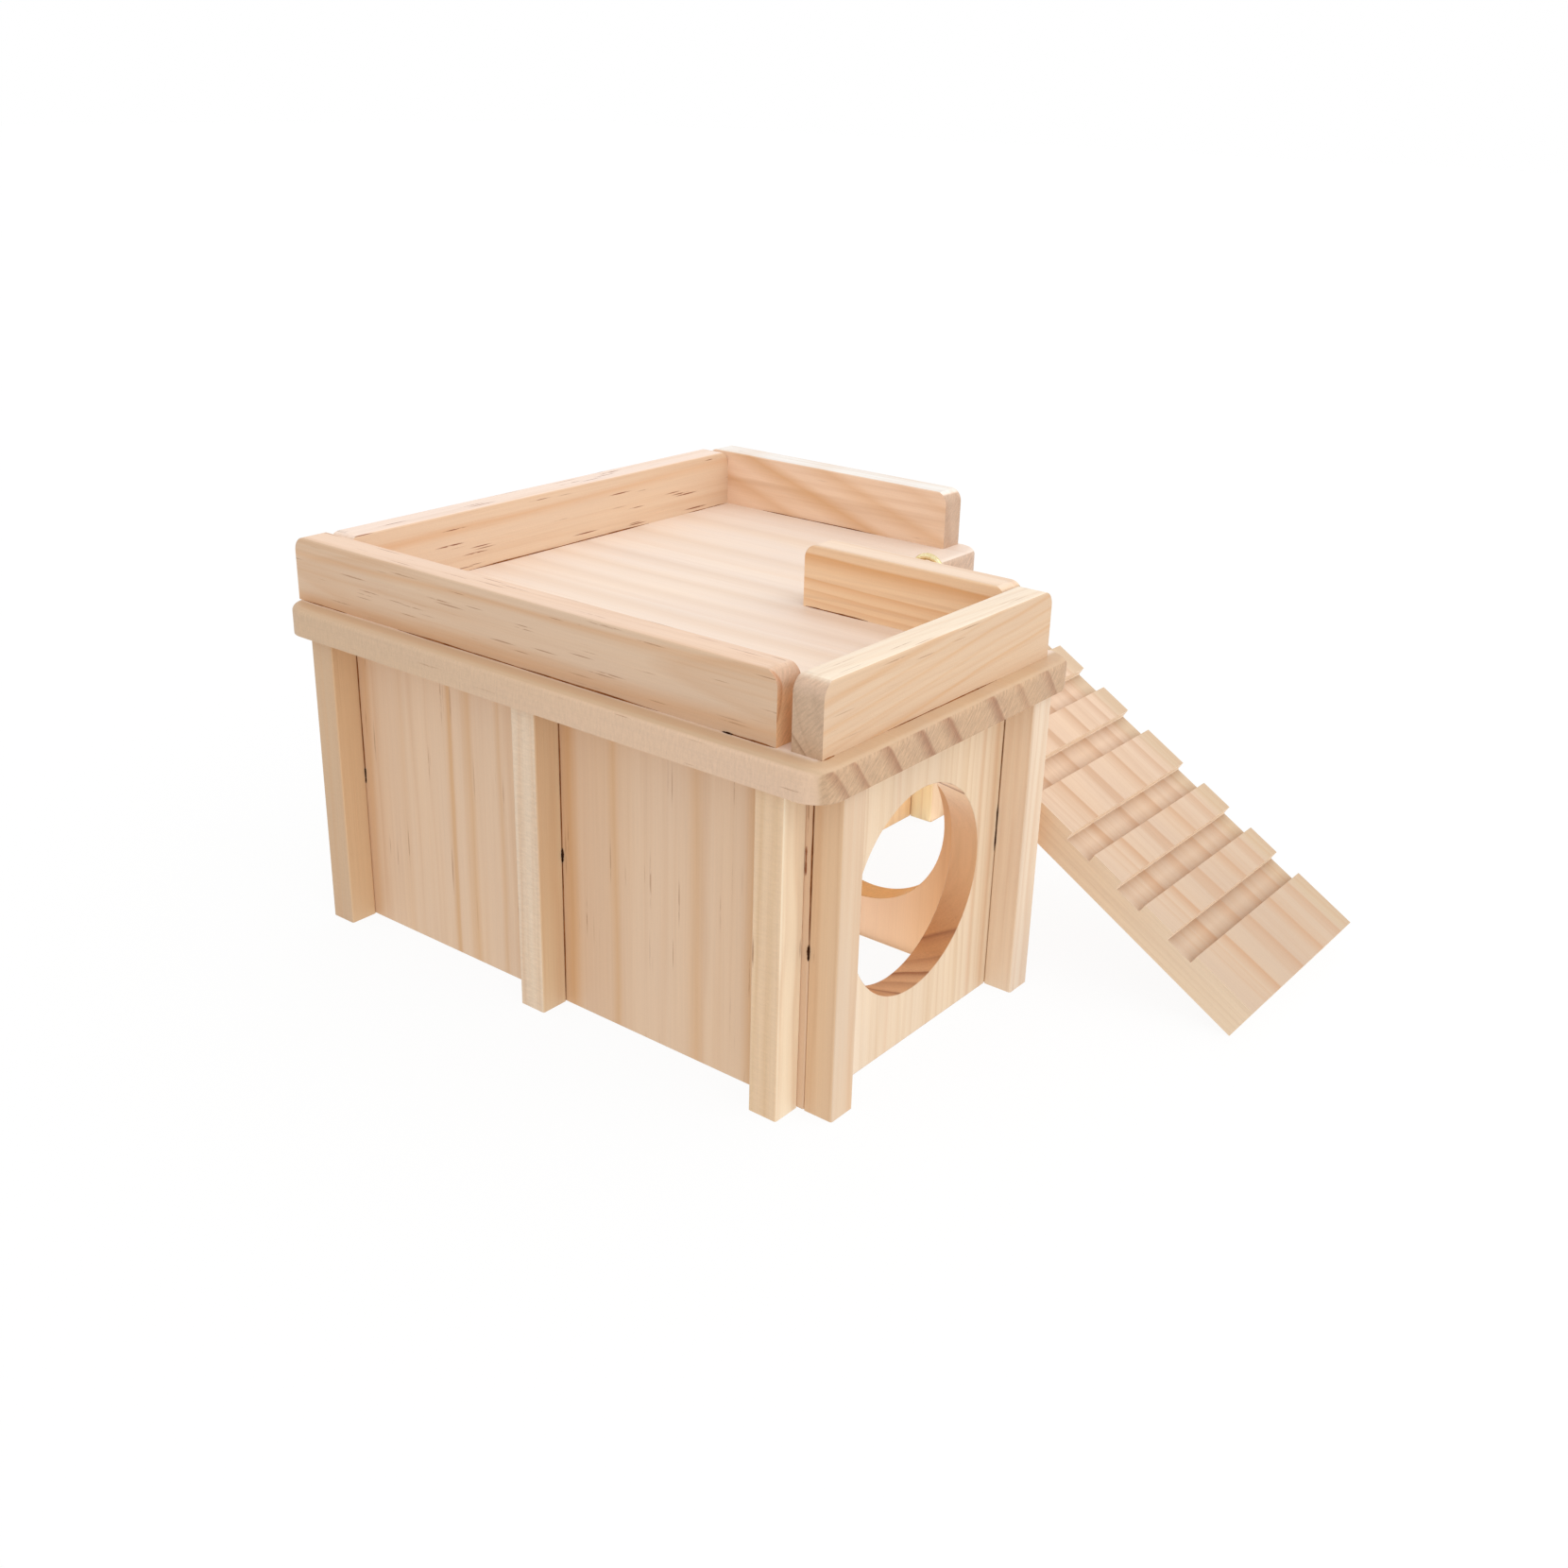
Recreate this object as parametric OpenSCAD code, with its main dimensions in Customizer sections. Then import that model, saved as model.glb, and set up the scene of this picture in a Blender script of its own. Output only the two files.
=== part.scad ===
// Corner hide of pine boards: an L-shaped bottomless house, a railed roof deck,
// and a milled ladder that hangs in the notch of the L on two linked screw eyes.
// Sizes in millimetres. X runs along the front, Y to the back, Z up from the ground.

/* [Deck] */
// Length of the deck along the front
deck_l = 200; // [170:1:240]
// Depth of the deck from front to back
deck_w = 200; // [185:1:240]
// Depth of the right leg of the L
leg_depth = 118; // [105:1:125]
// Width of the left leg of the L
leg_width = 118; // [105:1:135]
// Thickness of the deck board
deck_t = 8.7; // [7:0.1:12]
// Radius of the deck's upright corners
deck_corner_r = 8; // [5:0.5:14]
// Radius of the deck's softened top edge
deck_edge_r = 2; // [0.5:0.1:4]

/* [Walls] */
// Height of the walls and battens
wall_h = 92; // [80:1:110]
// Thickness of the wall boards
wall_t = 8.8; // [6:0.1:12]
// Deck overhang past the front wall
front_overhang = 12; // [10:0.1:16]
// Deck overhang past the right end wall
end_overhang = 11.3; // [10:0.1:16]
// Deck overhang past the left wall
left_overhang = 9.2; // [0:0.1:16]
// Deck overhang past the back wall
back_overhang = 3; // [0:0.1:12]
// Deck overhang past the inner back wall
notch_back_overhang = 8.9; // [0:0.1:12]
// Deck overhang past the inner side wall
notch_side_overhang = 15.7; // [12:0.1:18]

/* [Doorways] */
// Diameter of the doorway in the right end wall
end_door_d = 60; // [40:1:64]
// Height of that doorway's centre
end_door_z = 45.5; // [36:0.5:50]
// Diameter of the doorway in the inner back wall
inner_door_d = 60; // [40:1:64]
// Height of that doorway's centre
inner_door_z = 44; // [36:0.5:50]
// Chamfer on the rims of both doorways
door_chamfer = 0.3; // [0.1:0.1:2]

/* [Battens] */
// Width of a batten along its wall
batten_w = 9.1; // [6:0.1:12]
// How far a batten stands out from its wall
batten_d = 9.1; // [5:0.1:9.8]
// Radius of a batten's softened edges
batten_edge_r = 0.6; // [0.1:0.1:2]
// Setback of the right front batten from the house's corner
batten_setback = 2; // [0:0.1:6]

/* [Rails] */
// Height of the rails
rail_h = 19.3; // [12:0.1:30]
// Thickness of the rails
rail_t = 9.2; // [6:0.1:12]
// Radius of the upper corners at a rail's ends
rail_corner_r = 4.5; // [2:0.5:6]
// Radius of a rail's softened long edges
rail_edge_r = 0.8; // [0.1:0.1:1.8]
// Front rail to the deck's front edge
front_rail_inset = 6.3; // [2:0.1:12]
// Right rail to the deck's right edge
right_rail_inset = 5.7; // [2:0.1:12]
// Left rail to the deck's left edge
left_rail_inset = 4.6; // [2:0.1:12]
// Back rail to the deck's back edge
back_rail_inset = 2.6; // [1:0.1:12]
// Inner rail to the notch edge
inner_rail_inset = 5.4; // [2:0.1:10]
// Left end of the front rail to the deck's left edge
front_rail_margin = 0.7; // [0.5:0.1:10]
// Ends of the right rail to the right leg's front and notch edges
right_rail_margin = 7.1; // [5:0.1:12]
// Gap between the front rail and the right rail
front_rail_gap = 3.9; // [0.5:0.1:8]
// Gap between the inner rail and the right rail
inner_rail_gap = 1.1; // [0.5:0.1:8]
// Left end of the inner rail to the left leg's notch edge
inner_rail_margin = 3.4; // [1:0.1:10]
// Right end of the back rail to the left leg's notch edge
back_rail_margin = 8.8; // [4:0.1:12]

/* [Ladder] */
// Length of the ladder board
ladder_l = 158.4; // [145:0.1:200]
// Width of the ladder board
ladder_w = 72.4; // [40:0.1:76]
// Thickness of the ladder board
ladder_t = 11.4; // [10:0.1:14]
// Gap between the ladder and the right leg's notch edge
ladder_gap = 1.7; // [1:0.1:3]
// Depth of the cross grooves
groove_depth = 3; // [1:0.1:4]
// Width of a groove
groove_w = 9.2; // [6:0.1:10]
// Radius the cutter leaves between a groove's floor and its sides
groove_corner_r = 0.4; // [0.2:0.1:2.5]
// From the ladder's middle to the nearest groove's centre
groove_first = 12.4; // [8:0.1:16]
// Spacing of the other grooves
groove_pitch = 20.3; // [14:0.1:21]
// Grooves on each half of the ladder
groove_count = 3; // [1:1:3]

/* [Screw eyes] */
// Wire diameter of the eyes
eye_wire_d = 2.3; // [1.8:0.1:2.5]
// Radius of the eyes' rings, to the middle of the wire
eye_ring_r = 5.15; // [5:0.05:5.3]
// Diameter of the screwed shanks
eye_shank_d = 2; // [1.5:0.1:2.2]
// Running gap between the linked rings
eye_link_gap = 0.3; // [0.2:0.05:0.5]
// Clearance of the shanks in their pilot holes
eye_pilot_gap = 0.05; // [0.02:0.01:0.1]
// Upward tilt of the deck eye
deck_eye_tilt = 33; // [28:1:36]
// Deck's top face to where the deck eye enters the edge
deck_eye_drop = 2.7; // [2.4:0.1:3.2]
// From the notch edge to the centre of the deck eye's ring
deck_eye_reach = 7.6; // [7.6:0.1:9]
// Depth of the deck eye's shank in the wood
deck_eye_depth = 7.5; // [4:0.1:7.8]
// Angle between the ladder eye and the ladder
ladder_eye_tilt = 61; // [60:1:64]
// Depth of the ladder eye's shank in the wood
ladder_eye_depth = 6.3; // [3:0.1:6.4]
// From the hinge axis to the ladder's upper end, along the ladder
hinge_to_end = 6.3; // [6.2:0.1:7]
// From the hinge axis down to the ladder's top face
hinge_to_face = 6.7; // [6.6:0.1:7.4]

/* [Hidden] */
$fn = 96;

// Faces of the house, in its own frame: deck's front left corner above the origin, ground at zero
front_face = front_overhang;
end_face = deck_l - end_overhang;
left_face = left_overhang;
back_face = deck_w - back_overhang;
notch_back_face = leg_depth - notch_back_overhang;
notch_side_face = leg_width - notch_side_overhang;
deck_top = wall_h + deck_t;

// Rail faces that other rails meet
front_rail_back = front_rail_inset + rail_t;
right_rail_inner = deck_l - right_rail_inset - rail_t;
back_rail_inner = deck_w - back_rail_inset - rail_t;

// Each doorway sits in the middle of its wall
end_door_y = (front_face + notch_back_face) / 2;
inner_door_x = (notch_side_face - wall_t + end_face) / 2;

// The deck eye's ring, and the hinge axis low in its hole where the ladder eye hangs
link_angle = 40;
link_offset = eye_ring_r - eye_wire_d - eye_link_gap;
deck_eye_z = deck_top - deck_eye_drop;
hinge_x = leg_width + deck_eye_reach * cos(deck_eye_tilt) + link_offset * cos(link_angle);
hinge_z = deck_eye_z + deck_eye_reach * sin(deck_eye_tilt) - link_offset * sin(link_angle);
ladder_mid_y = leg_depth + ladder_gap + ladder_w / 2;

// The ladder's slope puts the lower edge of its foot on the ground
foot_along = hinge_to_end + ladder_l;
foot_below = hinge_to_face + ladder_t;
slope = asin(hinge_z / norm([foot_along, foot_below])) - atan2(foot_below, foot_along);
reach_x = hinge_x + foot_along * cos(slope) - hinge_to_face * sin(slope);

// Length of the ladder eye from the hinge axis to the ladder's end face
ladder_eye_reach = hinge_to_end / cos(ladder_eye_tilt);
pilot_d = eye_shank_d + 2 * eye_pilot_gap;
pilot_end_gap = 0.3;
cut_margin = 1;

wall_colour = [0.84, 0.70, 0.53];
batten_colour = [0.86, 0.74, 0.58];
deck_colour = [0.88, 0.76, 0.64];
rail_colour = [0.90, 0.76, 0.60];
ladder_colour = [0.87, 0.72, 0.54];
brass_colour = [0.80, 0.66, 0.34];

// Moves the house frame so that the middle of the whole footprint is the origin
module in_part() {
    translate([-reach_x / 2, -deck_w / 2, 0]) children();
}

// Rectangle with all corners rounded
module rounded_rect(length, width, r) {
    translate([r, 0]) square([length - 2 * r, width]);
    translate([0, r]) square([length, width - 2 * r]);
    for (x = [r, length - r], y = [r, width - r]) {
        translate([x, y]) circle(r);
    }
}

// Rectangle with its two upper corners rounded
module round_topped(length, height, r) {
    square([length, height - r]);
    translate([r, 0]) square([length - 2 * r, height]);
    for (x = [r, length - r]) {
        translate([x, height - r]) circle(r);
    }
}

// Wall board between two corners on the ground
module board(low, high) {
    translate([low.x, low.y, 0]) cube([high.x - low.x, high.y - low.y, wall_h]);
}

// Batten with softened edges, from its corner on the ground
module batten(x, y, length, width) {
    color(batten_colour) in_part()
        translate([x, y, 0]) linear_extrude(wall_h) rounded_rect(length, width, batten_edge_r);
}

// Doorway through a wall: a bore along X with a chamfered rim on each face
module doorway(d) {
    bar(d, -cut_margin, wall_t + cut_margin);
    rim = d + 2 * door_chamfer;
    rotate([0, 90, 0]) cylinder(d1 = rim, d2 = d, h = door_chamfer);
    translate([wall_t - door_chamfer, 0, 0]) rotate([0, 90, 0]) cylinder(d1 = d, d2 = rim, h = door_chamfer);
}

// Rail lying along X: its side view cut to its end view
module rail_body(length) {
    intersection() {
        translate([0, rail_t, 0]) rotate([90, 0, 0])
            linear_extrude(rail_t) round_topped(length, rail_h, rail_corner_r);
        rotate([90, 0, 90])
            linear_extrude(length) round_topped(rail_t, rail_h, rail_edge_r);
    }
}

// Rail along X, from its left end and its front face
module rail_along_x(x, y, length) {
    color(rail_colour) in_part()
        translate([x, y, deck_top]) rail_body(length);
}

// Rail along Y, from its left face and its near end
module rail_along_y(x, y, length) {
    color(rail_colour) in_part()
        translate([x + rail_t, y, deck_top]) rotate([0, 0, 90]) rail_body(length);
}

// Deck board with square edges
module deck_blank() {
    translate([0, 0, wall_h]) linear_extrude(deck_t) union() {
        rounded_rect(deck_l, leg_depth, deck_corner_r);
        rounded_rect(leg_width, deck_w, deck_corner_r);
    }
}

// What a softened edge takes away, in section: outward and up from the edge
module edge_waste() {
    translate([-deck_edge_r, -deck_edge_r]) difference() {
        square(deck_edge_r + cut_margin);
        circle(deck_edge_r);
    }
}

// Edge waste along a straight top edge that starts here and runs along X, with the wood on the +Y side
module straight_edge(length) {
    translate([0, 0, deck_top]) rotate([90, 0, 90]) mirror([1, 0]) linear_extrude(length) edge_waste();
}

// Edge waste round an upright corner of the deck, a quarter turn from the given angle
module corner_edge(x, y, from) {
    translate([x, y, deck_top]) rotate([0, 0, from])
        rotate_extrude(angle = 90) translate([deck_corner_r, 0]) edge_waste();
}

// Edge waste all round the deck, with a mitre in the notch
module deck_edge() {
    r = deck_corner_r;
    translate([r, 0, 0]) straight_edge(deck_l - 2 * r);
    translate([deck_l, r, 0]) rotate(90) straight_edge(leg_depth - 2 * r);
    translate([deck_l - r, leg_depth, 0]) rotate(180) straight_edge(deck_l - r - leg_width);
    translate([leg_width, leg_depth, 0]) rotate(90) straight_edge(deck_w - r - leg_depth);
    translate([leg_width - r, deck_w, 0]) rotate(180) straight_edge(leg_width - 2 * r);
    translate([0, deck_w - r, 0]) rotate(-90) straight_edge(deck_w - 2 * r);
    corner_edge(r, r, 180);
    corner_edge(deck_l - r, r, -90);
    corner_edge(deck_l - r, leg_depth - r, 0);
    corner_edge(leg_width - r, deck_w - r, 0);
    corner_edge(r, deck_w - r, 90);
    translate([leg_width, leg_depth, 0]) intersection() {
        rotate(180) straight_edge(deck_edge_r);
        translate([0, -deck_edge_r, 0]) rotate(90) straight_edge(deck_edge_r);
    }
}

// Deck eye's frame: X leaves the notch edge along the shank
module at_deck_eye() {
    translate([leg_width, ladder_mid_y, deck_eye_z])
        rotate([0, -deck_eye_tilt, 0]) children();
}

// Ladder's frame: origin on the hinge axis, X down the ladder, Z out of its top face
module at_ladder() {
    translate([hinge_x, ladder_mid_y, hinge_z])
        rotate([0, slope, 0]) children();
}

// Ladder eye's frame: origin on the hinge axis, X along the shank into the wood
module at_ladder_eye() {
    at_ladder() rotate([0, ladder_eye_tilt, 0]) children();
}

// Round bar along X between two places
module bar(d, from, to) {
    translate([from, 0, 0]) rotate([0, 90, 0]) cylinder(d = d, h = to - from);
}

// Ring of an eye, in the XY plane
module eye_ring() {
    rotate_extrude() translate([eye_ring_r, 0]) circle(d = eye_wire_d);
}

// Side view of one cross groove, centred, with its round-cornered floor below zero
module groove_outline() {
    translate([groove_w / 2, groove_corner_r]) rotate(180)
        round_topped(groove_w, groove_depth + groove_corner_r, groove_corner_r);
}

// Walls

module front_wall() {
    color(wall_colour) in_part()
        board([left_face, front_face], [end_face, front_face + wall_t]);
}

module right_end_wall() {
    color(wall_colour) in_part() difference() {
        board([end_face - wall_t, front_face + wall_t], [end_face, notch_back_face - wall_t]);
        translate([end_face - wall_t, end_door_y, end_door_z]) doorway(end_door_d);
    }
}

module inner_back_wall() {
    color(wall_colour) in_part() difference() {
        board([notch_side_face - wall_t, notch_back_face - wall_t], [end_face, notch_back_face]);
        translate([inner_door_x, notch_back_face - wall_t, inner_door_z]) rotate(90) doorway(inner_door_d);
    }
}

module inner_side_wall() {
    color(wall_colour) in_part()
        board([notch_side_face - wall_t, notch_back_face], [notch_side_face, back_face - wall_t]);
}

module back_wall() {
    color(wall_colour) in_part()
        board([left_face, back_face - wall_t], [notch_side_face, back_face]);
}

module left_wall() {
    color(wall_colour) in_part()
        board([left_face, front_face + wall_t], [left_face + wall_t, back_face - wall_t]);
}

// Battens

module front_batten(x) {
    batten(x, front_face - batten_d, batten_w, batten_d);
}

module end_batten(y) {
    batten(end_face, y, batten_d, batten_w);
}

module inner_batten(y) {
    batten(notch_side_face, y, batten_d, batten_w);
}

module front_batten_left() {
    front_batten(left_face);
}

module front_batten_middle() {
    front_batten(notch_side_face - wall_t);
}

module front_batten_right() {
    front_batten(end_face - batten_setback - batten_w);
}

module end_batten_near() {
    end_batten(front_face);
}

module end_batten_far() {
    end_batten(notch_back_face - batten_w);
}

module inner_batten_near() {
    inner_batten(notch_back_face);
}

module inner_batten_far() {
    inner_batten(back_face - batten_w);
}

// Deck and rails

module deck_board() {
    color(deck_colour) in_part() difference() {
        deck_blank();
        deck_edge();
        at_deck_eye() bar(pilot_d, -deck_eye_depth - pilot_end_gap, cut_margin);
    }
}

module front_rail() {
    rail_along_x(front_rail_margin, front_rail_inset, right_rail_inner - front_rail_gap - front_rail_margin);
}

module right_rail() {
    rail_along_y(right_rail_inner, right_rail_margin, leg_depth - 2 * right_rail_margin);
}

module left_rail() {
    rail_along_y(left_rail_inset, front_rail_back, back_rail_inner - front_rail_back);
}

module back_rail() {
    rail_along_x(left_rail_inset, back_rail_inner, leg_width - back_rail_margin - left_rail_inset);
}

module inner_rail() {
    start = leg_width - inner_rail_margin;
    rail_along_x(start, leg_depth - inner_rail_inset - rail_t, right_rail_inner - inner_rail_gap - start);
}

// Ladder and its eyes

module deck_eye() {
    color(brass_colour) in_part() at_deck_eye() {
        translate([deck_eye_reach, 0, 0]) rotate([90, 0, 0]) eye_ring();
        bar(eye_shank_d, -deck_eye_depth, deck_eye_reach - eye_ring_r);
    }
}

module ladder_board() {
    middle = hinge_to_end + ladder_l / 2;
    color(ladder_colour) in_part() difference() {
        at_ladder()
            translate([hinge_to_end, -ladder_w / 2, -foot_below]) cube([ladder_l, ladder_w, ladder_t]);
        at_ladder() for (side = [-1, 1], i = [0 : groove_count - 1]) {
            translate([middle + side * (groove_first + i * groove_pitch), 0, -hinge_to_face])
                rotate([90, 0, 0])
                    linear_extrude(ladder_w + 2 * cut_margin, center = true) groove_outline();
        }
        at_ladder_eye()
            bar(pilot_d, 2 * eye_ring_r, ladder_eye_reach + ladder_eye_depth + pilot_end_gap);
    }
}

module ladder_eye() {
    color(brass_colour) in_part() at_ladder_eye() {
        translate([eye_ring_r, 0, 0]) eye_ring();
        bar(eye_shank_d, 2 * eye_ring_r, ladder_eye_reach + ladder_eye_depth);
    }
}

front_wall();
right_end_wall();
inner_back_wall();
inner_side_wall();
back_wall();
left_wall();
front_batten_left();
front_batten_middle();
front_batten_right();
end_batten_near();
end_batten_far();
inner_batten_near();
inner_batten_far();
deck_board();
front_rail();
right_rail();
left_rail();
back_rail();
inner_rail();
deck_eye();
ladder_board();
ladder_eye();
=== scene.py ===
"""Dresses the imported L-shaped pet house: solid pine on every board, bright brass eyes, a white studio."""

import math

import bmesh
import bpy
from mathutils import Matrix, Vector


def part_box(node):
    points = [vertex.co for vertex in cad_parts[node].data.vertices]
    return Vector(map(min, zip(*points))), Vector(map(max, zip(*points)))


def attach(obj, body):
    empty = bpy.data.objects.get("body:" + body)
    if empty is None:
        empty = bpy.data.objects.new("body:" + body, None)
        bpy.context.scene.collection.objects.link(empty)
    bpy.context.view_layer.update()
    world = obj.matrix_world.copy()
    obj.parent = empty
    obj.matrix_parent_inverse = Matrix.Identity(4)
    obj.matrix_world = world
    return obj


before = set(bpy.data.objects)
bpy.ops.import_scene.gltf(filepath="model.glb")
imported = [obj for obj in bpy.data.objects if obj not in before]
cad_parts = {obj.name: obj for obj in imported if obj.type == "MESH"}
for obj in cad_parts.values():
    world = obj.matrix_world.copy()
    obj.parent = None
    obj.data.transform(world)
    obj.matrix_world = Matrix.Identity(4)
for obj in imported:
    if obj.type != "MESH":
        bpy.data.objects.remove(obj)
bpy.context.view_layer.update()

MM = 0.001
WHITE = (1.0, 1.0, 1.0, 1.0)

# Camera: place in metres, turns in degrees, lens in millimetres on a square 36 mm sensor
CAMERA_PLACE = (0.27894, -0.38862, 0.24843)
CAMERA_TURNS = (67.2374, -1.4539, 38.1991)
CAMERA_LENS = 38.959
SENSOR = 36.0

# Studio: a white room that is brighter to the right, the back and above, and one lamp from there that is
# KEY_SOFTNESS degrees broad
WORLD_LEVEL = 0.85
WORLD_LEAN = (0.370, 0.166, 0.342)
KEY_LEVEL = 0.30
KEY_SOFTNESS = 50.0
KEY_TOWARDS = (0.25, 0.04, 0.29)

# Light table for a floor: its white, the share of it that glows, how bright the glow is as light, half its
# width in metres, and how far below the part it lies in millimetres
FLOOR_WHITE = 0.93
FLOOR_GLOW = 0.92
FLOOR_LIGHT = 0.87
FLOOR_HALF = 6.0
FLOOR_DROP = 0.05

# Fill lamps on the floor, inside the house and under the ladder: brightness beside white, height, and the
# middle and size of each lamp, in millimetres from the house's corner
FILL_LEVEL = 0.6
FILL_HEIGHT = 0.5
FILLS = {
    "fill_right": ((100.0, 60.5), (156.0, 76.0)),
    "fill_left": ((56.0, 144.0), (72.0, 84.0)),
    "fill_notch": ((152.0, 156.0), (84.0, 74.0)),
}

# The house's own corner, which the lamps and joint lines are measured from, in millimetres
HOUSE_CORNER = (-131.9714, -100.0, 0.0)

# The ladder's slope at rest, in degrees
LADDER_SLOPE = 31.07


def tone(red, green, blue):
    """Linear colour of a screen tone given from 0 to 255, by the sRGB curve."""
    def linear(level):
        level /= 255.0
        return level / 12.92 if level <= 0.04045 else ((level + 0.055) / 1.055) ** 2.4
    return (linear(red), linear(green), linear(blue), 1.0)


class Graph:
    """One material's nodes. Each call adds a node and returns what comes out of it."""

    def __init__(self, name):
        self.material = bpy.data.materials.new(name)
        self.material.use_nodes = True
        self.tree = self.material.node_tree
        self.tree.nodes.clear()

    def add(self, kind, inputs, **options):
        node = self.tree.nodes.new(kind)
        for key, value in options.items():
            setattr(node, key, value)
        for place, value in inputs.items():
            if isinstance(value, bpy.types.NodeSocket):
                self.tree.links.new(value, node.inputs[place])
            else:
                node.inputs[place].default_value = value
        return node

    def math(self, operation, a, b=0.0, clamp=False):
        return self.add("ShaderNodeMath", {0: a, 1: b}, operation=operation, use_clamp=clamp).outputs[0]

    def total(self, *values):
        result = values[0]
        for value in values[1:]:
            result = self.math("ADD", result, value)
        return result

    def product(self, *values):
        result = values[0]
        for value in values[1:]:
            result = self.math("MULTIPLY", result, value)
        return result

    def about_zero(self, noise):
        """Noise from 0 to 1, moved to lie evenly about 0."""
        return self.math("SUBTRACT", noise, 0.5)

    def vector_math(self, operation, a, b):
        return self.add("ShaderNodeVectorMath", {0: a, 1: b}, operation=operation).outputs[0]

    def scaled(self, vector, rate):
        return self.vector_math("MULTIPLY", vector, (rate, rate, rate))

    def ease(self, value, low, high):
        """0 below a range, 1 above it, and smooth in between."""
        inputs = {0: value, 1: low, 2: high}
        return self.add("ShaderNodeMapRange", inputs, interpolation_type="SMOOTHSTEP").outputs[0]

    def spread(self, value, low, high):
        """Takes 0 to 1 to a range."""
        return self.add("ShaderNodeMapRange", {0: value, 3: low, 4: high}).outputs[0]

    def vector(self, x, y, z):
        return self.add("ShaderNodeCombineXYZ", {0: x, 1: y, 2: z}).outputs[0]

    def parts(self, vector):
        return self.add("ShaderNodeSeparateXYZ", {0: vector}).outputs[:3]

    def noise(self, vector, detail=2.0, roughness=0.5):
        inputs = {"Vector": vector, "Scale": 1.0, "Detail": detail, "Roughness": roughness}
        return self.add("ShaderNodeTexNoise", inputs).outputs[0]

    def chance(self, value):
        """One random number for each whole number."""
        return self.add("ShaderNodeTexWhiteNoise", {"W": value}, noise_dimensions="1D").outputs[0]

    def mix(self, factor, a, b, blend="MIX"):
        inputs = {0: factor, 6: a, 7: b}
        return self.add("ShaderNodeMix", inputs, data_type="RGBA", blend_type=blend).outputs[2]

    def curve(self, value, stops):
        """A value read off a list of (place, level) stops."""
        node = self.add("ShaderNodeValToRGB", {0: value})
        points = node.color_ramp.elements
        while len(points) < len(stops):
            # Anywhere will do: the place is set below
            points.new(0.5)
        for point, (place, level) in zip(points, stops):
            point.position = place
            point.color = (level, level, level, 1.0)
        return node.outputs[0]

    def surface(self, shader):
        self.add("ShaderNodeOutputMaterial", {0: shader})
        return self.material


# A board's look. Tones are screen tones, lengths are millimetres, depths are shares from 0 to 1.
#   early, late, end, end_late: tones of early and late wood, on the faces and on the cut ends
#   axes: letters of the directions along the grain, across the width and through the thickness
#   tilt: turn of the grain about the y axis, in degrees
#   pith, lean: where the tree's middle lies, across and through, and how it drifts along the board
#   ring, line: spacing of the broad rings and of the thin late-wood lines; sway: how far both wander
#   cut_rings: depth of the rings on end grain
#   bands, cut_bands: (place across, half width, depth) of the darker bands on the faces and on the cut ends;
#     they may slant through the board or lean along it
#   band_fall, cut_fall: how soon a band ends past its darkest place, as a share of its half width
#   drifts: (axis, begins, full, tone, share) of a tone that comes in along an axis, 0 along, 1 across and
#     2 through; cut_drifts are the same on end grain
#   end_from: how far a face must turn towards the grain's ends before it shows end grain
#   end_scratch: depth of the saw's scratches on end grain
#   corner_shade: how much painted shade darkens the wood close to the board's own inner corners
#   dashes: share of the cells that hold a resin dash; dash_size: length and width of a cell
#   dash_drift: noise level where a drift of dashes begins; dash_side: the only side that shows them, if one
#   streaks: depth of the soft streaks along the grain
#   faces: faces with their own tones, each from face(): sawn faces, and painted light on some tops and sides
#   seed: number that sets the board's noise apart from that of the others
PINE = dict(
    early=(232, 200, 168), late=(206, 160, 118), end=(208, 176, 146), end_late=(176, 130, 98),
    band_tone=(206, 154, 108), dash=(150, 98, 62),
    axes="xyz", tilt=0.0,
    pith=(0.0, -70.0), lean=(0.0, 0.0), ring=10.0, ring_depth=0.3, line=3.0, line_depth=0.25, sway=3.0,
    bands=(), band_slant=0.0, band_lean=0.0, band_fall=0.6,
    cut_bands=(), cut_fall=0.15, cut_rings=0.8, end_from=0.62,
    drifts=(), cut_drifts=(), end_scratch=0.55, corner_shade=0.0,
    dashes=0.2, dash_depth=0.75, dash_size=(20.0, 1.6), dash_drift=0.4, dash_side="",
    streaks=0.3, faces=(), seed=0.0,
)

# Cells of each noise in the wood, in millimetres along the grain, across and through
CELLS = dict(
    fibre=(36.0, 0.6, 0.6), streak=(150.0, 3.2, 3.2), mottle=(70.0, 16.0, 16.0), pore=(0.55, 0.55, 0.55),
    tear=(0.7, 3.0, 3.0), sway=(75.0, 26.0, 26.0), wander=(60.0, 40.0, 40.0),
    dash_drift=(60.0, 7.0, 7.0), dash_break=(4.0, 0.5, 0.5),
)

# What a noise adds to its board's seed, and the share of the seed that moves it across and through
SEED_STEPS = dict(line=40.0, streak=11.0, mottle=7.0, wander=5.0, dash=3.0, tear=2.0)
SEED_ACROSS = 0.71
SEED_THROUGH = 0.37

# How far a face turns before it is all end grain, and before a named side begins to show and shows in full
END_FULL = 0.78
SIDE_FROM = 0.6
SIDE_FULL = 0.9

# Rings: how unevenly they are spaced, how faint they may be, and how dark they are from start to end
UNEVEN_RATE = 0.6
UNEVEN_REACH = 1.4
FAINTEST_RING = -0.1
RING_DARKNESS = ((0.0, 0.15), (0.25, 0.02), (0.70, 0.40), (0.90, 1.0), (1.0, 0.15))

# Resin dashes: shortest and longest as a share of a cell, the share that is all dark, how soon a drift is
# full, and the noise levels at which a dash is broken and whole
DASH_REACH = (0.14, 0.32)
DASH_CORE = 0.35
DASH_DRIFT_RISE = 0.16
DASH_BREAK = (0.32, 0.5)

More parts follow.
